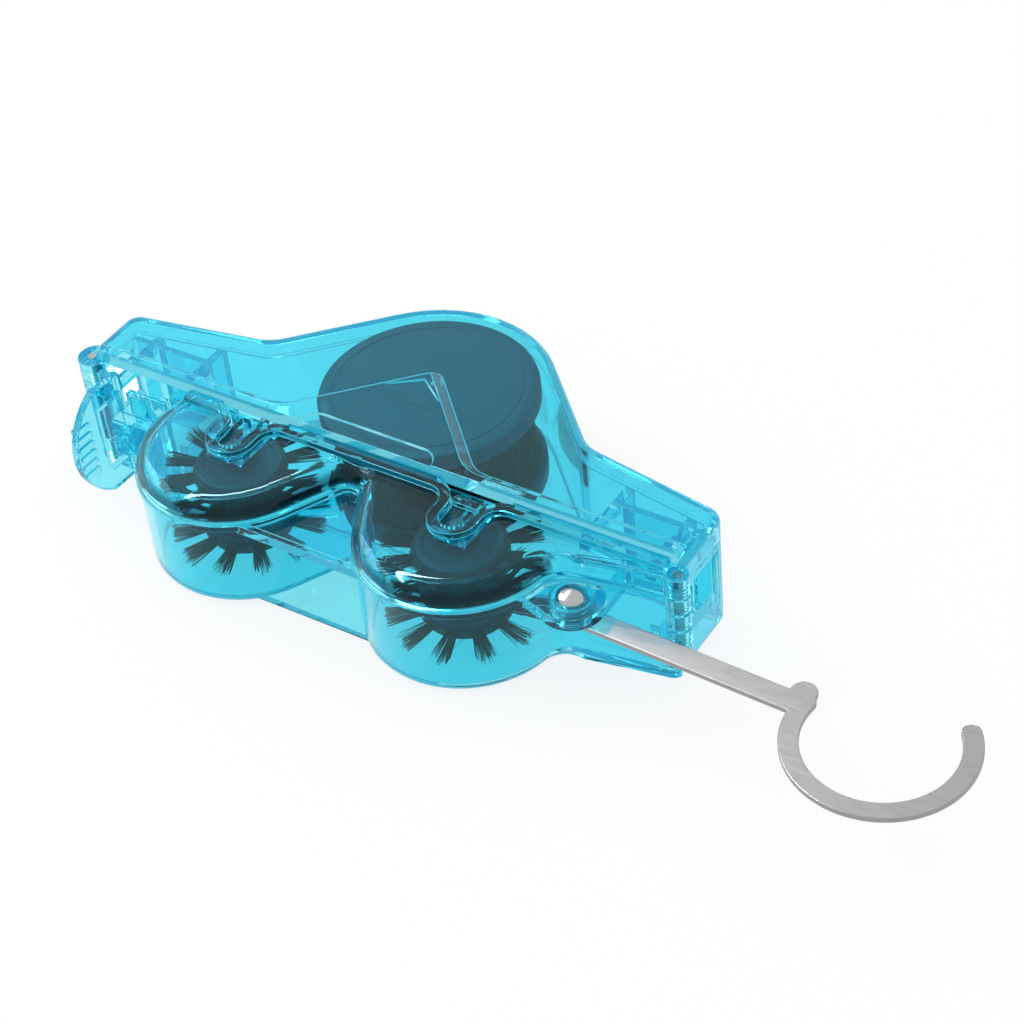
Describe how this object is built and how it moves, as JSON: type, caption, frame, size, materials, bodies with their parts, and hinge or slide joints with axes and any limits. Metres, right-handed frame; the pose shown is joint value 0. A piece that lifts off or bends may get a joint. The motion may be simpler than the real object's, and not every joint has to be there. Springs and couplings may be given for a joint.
{
  "type": "bike chain cleaner",
  "caption": "Hinged clear blue chain scrubber box with rotating bristle brushes, a latch lever at one end and a flat steel hook at the other.",
  "frame": {"origin": "on the flat back, half way between the axles of the two small brushes", "axes": "+X along the chain towards the hinge and hook end, +Y from the tank towards the cover, +Z from the back to the face, along every brush axle"},
  "size_m": [0.2245, 0.0868, 0.0316],
  "materials": {
    "clear_blue": "gloss",
    "nylon": "satin",
    "disc_plastic": "satin",
    "hub_plastic": "satin",
    "plated_steel": "gloss",
    "steel": "satin"
  },
  "bodies": {
    "tank": {"tank_back": "clear_blue", "tank_face": "clear_blue", "hinge_pin": "steel", "hook_rivet": "plated_steel", "rivet_washer": "plated_steel"},
    "cover": {"cover_back": "clear_blue", "cover_face": "clear_blue", "latch_pin": "steel"},
    "lever": {"latch_lever": "clear_blue"},
    "hook": {"hook": "steel"},
    "big_brush": {"big_disc_upper": "disc_plastic", "big_disc_lower": "disc_plastic", "big_core": "disc_plastic", "big_axle": "steel", "big_bristles_upper": "nylon", "big_bristles_lower": "nylon"},
    "small_brush_left": {"small_hub_left": "hub_plastic", "small_axle_left": "steel", "small_bristles_upper_left": "nylon", "small_bristles_lower_left": "nylon"},
    "small_brush_right": {"small_hub_right": "hub_plastic", "small_axle_right": "steel", "small_bristles_upper_right": "nylon", "small_bristles_lower_right": "nylon"}
  },
  "joints": [
    {"name": "cover_hinge", "type": "hinge", "parent": "tank", "child": "cover", "pos_m": [0.0762, 0.0066, 0.015], "axis": [0, 0, -1], "range_deg": [0, 95]},
    {"name": "latch", "type": "hinge", "parent": "cover", "child": "lever", "pos_m": [-0.0755, 0.0086, 0.015], "axis": [0, 0, -1], "range_deg": [0, 100]},
    {"name": "hook_pivot", "type": "hinge", "parent": "tank", "child": "hook", "pos_m": [0.058, -0.0041, 0.0178], "axis": [0, 0, 1], "range_deg": [-120, 5]},
    {"name": "big_brush_axle", "type": "hinge", "parent": "cover", "child": "big_brush", "pos_m": [0, 0.0328, 0.015], "axis": [0, 0, 1], "continuous": true},
    {"name": "small_axle_left", "type": "hinge", "parent": "tank", "child": "small_brush_left", "pos_m": [-0.0287, 0, 0.015], "axis": [0, 0, 1], "continuous": true},
    {"name": "small_axle_right", "type": "hinge", "parent": "tank", "child": "small_brush_right", "pos_m": [0.0287, 0, 0.015], "axis": [0, 0, 1], "continuous": true}
  ]
}
